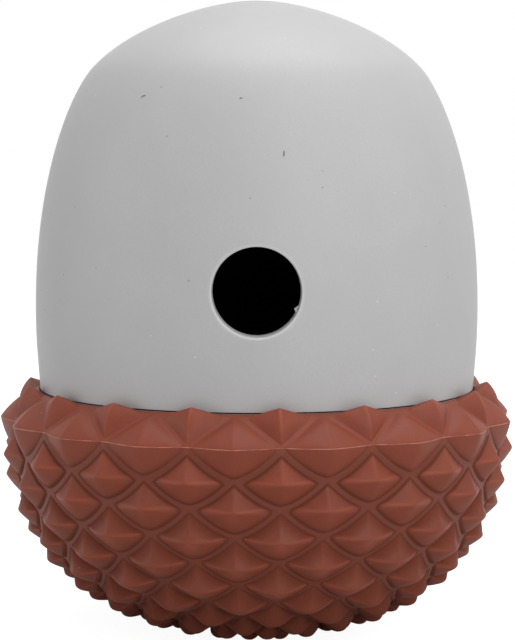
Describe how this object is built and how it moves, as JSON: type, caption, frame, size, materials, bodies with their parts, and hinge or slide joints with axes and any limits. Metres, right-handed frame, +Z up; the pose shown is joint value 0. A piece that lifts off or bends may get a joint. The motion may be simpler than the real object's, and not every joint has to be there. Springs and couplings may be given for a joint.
{
  "type": "treat ball",
  "caption": "Weighted wobbling treat dispenser for dogs: a smooth dome with a round treat hole, unscrewed from a studded rubber base to fill it.",
  "frame": {"origin": "centre of the round pad that the toy stands on", "axes": "+Z up along the thread's axis, the treat hole faces -Y"},
  "size_m": [0.1272, 0.1272, 0.1563],
  "materials": {
    "dome": "pale grey, fine satin grain",
    "studded_cup": "brown moulded rubber, satin",
    "base_bowl": "dark grey, satin",
    "threaded_collar": "dark grey, satin",
    "seal": "black rubber, matt",
    "ballast": "as cast",
    "weight_cover": "grey, satin",
    "screw": "stainless steel"
  },
  "bodies": {
    "base": {"studded_cup": "studded_cup", "base_bowl": "base_bowl", "threaded_collar": "threaded_collar", "ballast_weight": "ballast", "weight_cover": "weight_cover", "cover_seal": "seal", "cover_screw_1": "screw", "cover_screw_2": "screw", "cover_screw_3": "screw", "cover_screw_4": "screw"},
    "ring": {"seal_ring": "seal"},
    "dome": {"dome_shell": "dome"}
  },
  "joints": [
    {"name": "dome_rise", "type": "slide", "parent": "base", "child": "ring", "axis": [0, 0, 1], "range_m": [0, 0.0072]},
    {"name": "dome_turn", "type": "hinge", "parent": "ring", "child": "dome", "pos_m": [0, 0, 0.0555], "axis": [0, 0, 1], "range_deg": [0, 216]}
  ],
  "couplings": [
    {"joint": "dome_rise", "follows": "dome_turn", "m_per_rad": 0.0019099}
  ]
}
